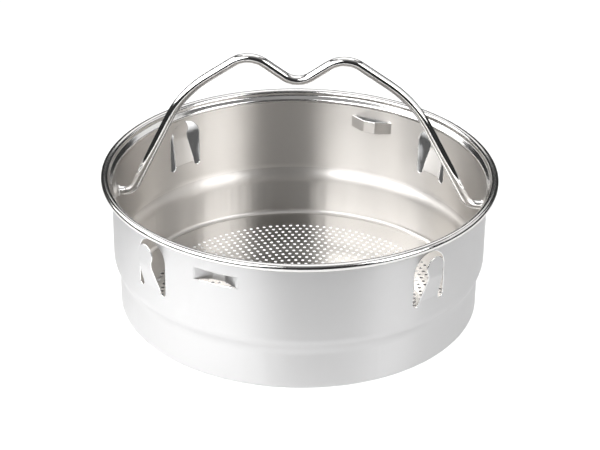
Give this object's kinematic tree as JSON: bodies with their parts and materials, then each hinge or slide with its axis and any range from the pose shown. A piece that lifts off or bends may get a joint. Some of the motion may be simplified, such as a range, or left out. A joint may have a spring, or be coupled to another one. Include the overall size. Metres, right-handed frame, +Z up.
{
  "type": "steamer basket",
  "caption": "Deep round steel steamer basket with a rolled rim, perforated floor, lanced rest tabs and a swinging M-shaped wire bail.",
  "frame": {"origin": "middle of the flat base, on the surface it stands on", "axes": "+Z up; +X along the bail's pivot axis towards the right-hand pivot hole; -Y is the front"},
  "size_m": [0.22, 0.22, 0.1483],
  "materials": {
    "satin_steel": "satin",
    "floor_steel": "circular brushed, bright",
    "polished_rim": "polished",
    "polished_wire": "mirror polished"
  },
  "bodies": {
    "basket": {"rolled_rim": "polished_rim", "upper_wall": "satin_steel", "lower_wall": "satin_steel", "perforated_floor": "floor_steel", "rest_tab_front_left": "satin_steel", "rest_tab_front_right": "satin_steel", "rest_tab_rear_left": "satin_steel", "rest_tab_rear_right": "satin_steel", "stop_bridge_front": "satin_steel", "stop_bridge_rear": "satin_steel", "pivot_boss_left": "satin_steel", "pivot_boss_right": "satin_steel"},
    "bail": {"bail_handle": "polished_wire"}
  },
  "joints": [
    {"name": "bail_swing", "type": "hinge", "parent": "basket", "child": "bail", "pos_m": [0, 0, 0.0623], "axis": [1, 0, 0], "range_deg": [-134, 134]}
  ]
}
